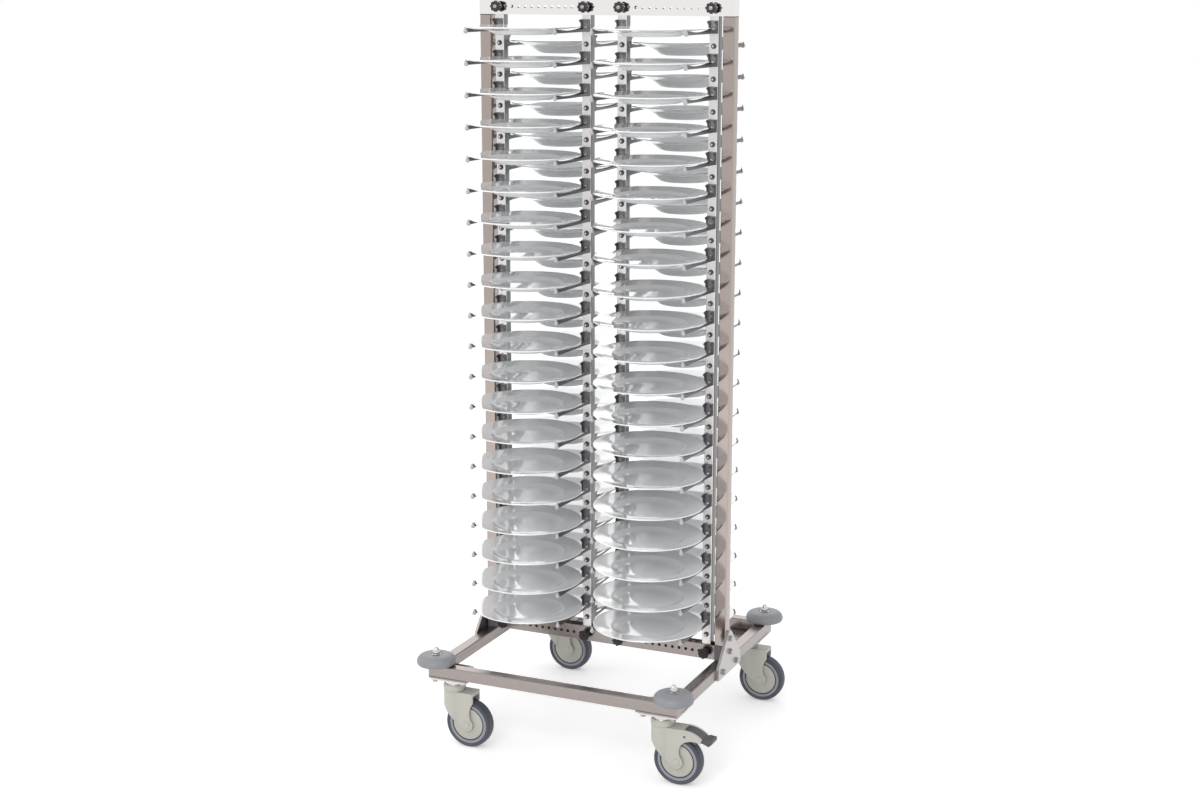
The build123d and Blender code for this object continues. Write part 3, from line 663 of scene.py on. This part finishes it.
def knobMesh(withDisc):
    head = bmesh.new()
    rings = [lobedRing(head, scale, distance) for scale, distance in knob["rings"]]
    for first, second in zip(rings, rings[1:]):
        bmesh.ops.bridge_loops(head, edges=first + second)
    bmesh.ops.contextual_create(head, geom=rings[0])
    bmesh.ops.contextual_create(head, geom=rings[-1])
    hub, disc, stud = (
        tippedForwards(spunShape(form["profile"], form["steps"]), (0, -form["start"] * mm, 0))
        for form in (knob["hub"], knob["disc"], knob["stud"])
    )
    whole, (_, _, discStart, studStart) = joinedShape([head, hub, disc, stud])
    for face in whole.faces[discStart if withDisc else studStart:]:
        face.material_index = 1
    return finishMesh(whole, "knob")


def makeKnobs():
    for height in ("top", "bottom"):
        source = knobMesh(withDisc=height == "top")
        for side in ("left", "right"):
            for place in ("outer", "inner"):
                node = f"knob_{height}_{side}_{place}"
                middle = middleOf(node)
                mesh = copiesAt(source, [Vector((middle.x, 0, middle.z))], node)
                addPiece(node, mesh, "black_plastic", "blackPlastic", "boltSteel")
    print("knobs made")


# Wheel profiles give radius and distance from the wheel's middle, for one side of it.
wheel = {
    "steps": 96,
    "grooveStart": 42,
    "ringStart": 44.5,
    "tyreSharpAngle": 50,
    "hubSharpAngle": 30,
    "tyre": [(52.2, 0), (52.2, 13.8), (53.4, 15.2), (56.5, 16), (60.6, 14.2), (62.3, 9.5),
             (62.5, 4), (62.5, 0)],
    "hub": [(5.1, 17), (11.5, 17), (12, 16.5), (12, 14.6), (20, 14.2), (36, 14.2), (40.5, 13.7),
            (41.8, 12.8), (42.4, 11.8), (44.2, 11.8), (44.8, 13.2), (46, 13.9), (50.8, 13.9),
            (52, 13.2)],
}
turretRingTop = 164.5  # above it the castors' mounts are plated steel, below it moulded


def otherSide(points):
    return [(radius, -across) for radius, across in reversed(points)]


def wheelShape(points, spot):
    return tippedForwards(spunShape(points, wheel["steps"]), spot)


def makeTyre(castor, spot):
    node = f"tyre_{castor}"
    outside = easedInside(wheel["tyre"])
    loop = outside + otherSide(outside[1:-1]) + outside[:1]
    mesh = finishMesh(wheelShape(loop, spot), node, wheel["tyreSharpAngle"])
    addPiece(node, mesh, "tyre_rubber", "tyreRubber")


def makeHub(castor, spot):
    node = f"wheel_hub_{castor}"
    side = wheel["hub"]
    shape = wheelShape(side + otherSide(side) + side[:1], spot)
    for face in shape.faces:
        centre = face.calc_center_median() - spot
        reach = math.hypot(centre.x, centre.z) / mm
        face.material_index = (reach > wheel["grooveStart"]) + (reach > wheel["ringStart"])
    mesh = finishMesh(shape, node, wheel["hubSharpAngle"])
    addPiece(node, mesh, "hub_plastic", "hubPlastic", "groovePlastic", "ringPlastic")


def makeCastors():
    for castor in castorNames:
        spot = middleOf(f"tyre_{castor}")
        makeTyre(castor, spot)
        makeHub(castor, spot)
        softCopy(f"axle_{castor}", "fastener", "forkPlastic", 0.4)
        softCopy(f"fork_{castor}", "fork_plastic", "forkPlastic", 1.6)
        if f"brake_pedal_{castor}" in bodyOfNode:
            softCopy(f"brake_pedal_{castor}", "pedal_plastic", "pedalPlastic", 1.2)
    mounts = softCopy("castor_mounts", "fastener", "platedSteel", 0.4)
    recolour(mounts, "forkPlastic", lambda face: face.center.z < turretRingTop * mm)
    print("castors made")


# The front arms hold flat dinner plates, and the back arms deep ones. Each kind's profile gives
# radius and height below the rim's top, from the well over the shared edge to the foot.
plate = {
    "steps": 96,
    "sharpAngle": 50,
    "perStack": 19,
    "ridges": 3,
    "ridgeHeight": 0.35,
    "coneSteps": 30,
    "edge": [(139.2, -0.2), (139.9, -1.4), (139.6, -2.6), (138.4, -3.3)],
}
plateKinds = {
    "front": {
        "well": [(0, -15.8), (40, -15.7), (68, -15.2), (79, -13.4), (87, -10.2), (92, -7.0)],
        "rim": [(93.4, -6.3), (95.5, -6.1), (112, -4.1), (128, -1.8), (137, -0.4)],
        "under": [(128, -5.0), (108, -8.0), (92.5, -10.5)],
        "cone": ((91, -11), (76, -18.5)),
        "foot": [(74, -19.6), (71.5, -20.5), (68, -20.6), (64.5, -20.6), (62.5, -19.8),
                 (60, -18.9), (0, -18.8)],
    },
    "back": {
        "well": [(0, -28.6), (30, -28.5), (55, -27.8), (72, -24), (84, -17), (92.5, -9.4)],
        "rim": [(94, -8.2), (96, -7.8), (112, -5.2), (128, -2.2), (137, -0.3)],
        "under": [(128, -5.2), (108, -10), (94, -13.6)],
        "cone": ((92, -14.6), (67, -31.6)),
        "foot": [(62, -33.6), (60.2, -34), (57, -34), (55.4, -33.2), (53.6, -31.8), (40, -31.6),
                 (0, -31.6)],
    },
}


# The plain cone under a plate, with the low ridges that shaping leaves on it.
def ridgedCone(outer, inner):
    cone = []
    for step in range(plate["coneSteps"] + 1):
        part = step / plate["coneSteps"]
        ridge = plate["ridgeHeight"] * abs(math.sin(math.pi * plate["ridges"] * part))
        radius = outer[0] + (inner[0] - outer[0]) * part + ridge
        cone.append((radius, outer[1] + (inner[1] - outer[1]) * part))
    return cone


def plateMesh(kind):
    top = easedProfile(kind["well"]) + kind["rim"] + plate["edge"]
    under = kind["under"] + ridgedCone(*kind["cone"]) + kind["foot"]
    return finishMesh(spunShape(top + under, plate["steps"]), "plate", plate["sharpAngle"])


# The loose top plate stands at its node's box, and the stack goes down from it by one pitch each.
def makePlates():
    for side, kind in plateKinds.items():
        source = plateMesh(kind)
        for column in ("left", "right"):
            single, stack = f"top_plate_{side}_{column}", f"plates_{side}_{column}"
            middle, (_, high), (_, stackHigh) = middleOf(single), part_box(single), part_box(stack)
            spot = Vector((middle.x, middle.y, high.z))
            pitch = high.z - stackHigh.z
            spots = [spot - Vector((0, 0, pitch * (n + 1))) for n in range(plate["perStack"])]
            addPiece(single, copiesAt(source, [spot], single), "porcelain", "porcelain")
            addPiece(stack, copiesAt(source, spots, stack), "porcelain", "porcelain")
    print("plates made")


studio = {
    "floorSize": 14,
    "floorColour": (0.93, 0.93, 0.93, 1),
    "floorRoughness": 0.8,
    "floorGlow": 0.28,
    "fill": 0.8,
    "lamps": {
        "keySoftbox": {"place": (0.3, -4.8, 3.5), "aim": (0, 0, 0.9), "size": 2.6, "power": 88},
        "sideSoftbox": {"place": (-3.8, -0.8, 2.4), "aim": (0, 0, 0.9), "size": 2.8, "power": 20},
        "backSoftbox": {"place": (-1.6, 3.6, 2.8), "aim": (0, 0, 1.0), "size": 3.2, "power": 20},
    },
}


# 1 where a ray comes from the camera, or by way of metal or glass.
def seenDirectly(tree):
    path = tree.nodes.new("ShaderNodeLightPath")
    seen = mathNode(tree, "MAXIMUM", path.outputs["Is Camera Ray"], path.outputs["Is Glossy Ray"])
    return mathNode(tree, "MAXIMUM", seen, path.outputs["Is Transmission Ray"])


# The floor glows only where it is seen, so that it reads white and keeps its shadow.
def addFloor():
    shape = bmesh.new()
    bmesh.ops.create_grid(shape, x_segments=1, y_segments=1, size=studio["floorSize"])
    floor = bpy.data.objects.new("floor", finishMesh(shape, "floor"))
    bpy.context.scene.collection.objects.link(floor)
    material, tree, shader = newMaterial("floorPaper")
    shader.inputs["Base Color"].default_value = studio["floorColour"]
    shader.inputs["Roughness"].default_value = studio["floorRoughness"]
    shader.inputs["Specular IOR Level"].default_value = 0.0
    shader.inputs["Emission Color"].default_value = (1, 1, 1, 1)
    glow = mathNode(tree, "MULTIPLY", seenDirectly(tree), studio["floorGlow"])
    tree.links.new(glow, shader.inputs["Emission Strength"])
    floor.data.materials.append(material)


def addLamps():
    for name, lamp in studio["lamps"].items():
        data = bpy.data.lights.new(name, "AREA")
        data.size = lamp["size"]
        data.energy = lamp["power"]
        light = bpy.data.objects.new(name, data)
        light.location = lamp["place"]
        sight = Vector(lamp["aim"]) - Vector(lamp["place"])
        light.rotation_euler = sight.to_track_quat("-Z", "Y").to_euler()
        bpy.context.scene.collection.objects.link(light)


# The world is white where it is seen or mirrored, and dimmer where it lights.
def addWorld():
    world = bpy.data.worlds.new("studioWorld")
    world.use_nodes = True
    tree = world.node_tree
    background = next(node for node in tree.nodes if node.type == "BACKGROUND")
    background.inputs["Color"].default_value = (1, 1, 1, 1)
    extra = mathNode(tree, "MULTIPLY", seenDirectly(tree), 1 - studio["fill"])
    strength = mathNode(tree, "ADD", extra, studio["fill"])
    tree.links.new(strength, background.inputs["Strength"])
    bpy.context.scene.world = world


addCamera()
makeFrame()
makeBumpers()
makeKnobs()
makeCastors()
makePlates()
addFloor()
addLamps()
addWorld()
bpy.context.scene.view_settings.view_transform = "Standard"
print("studio made")
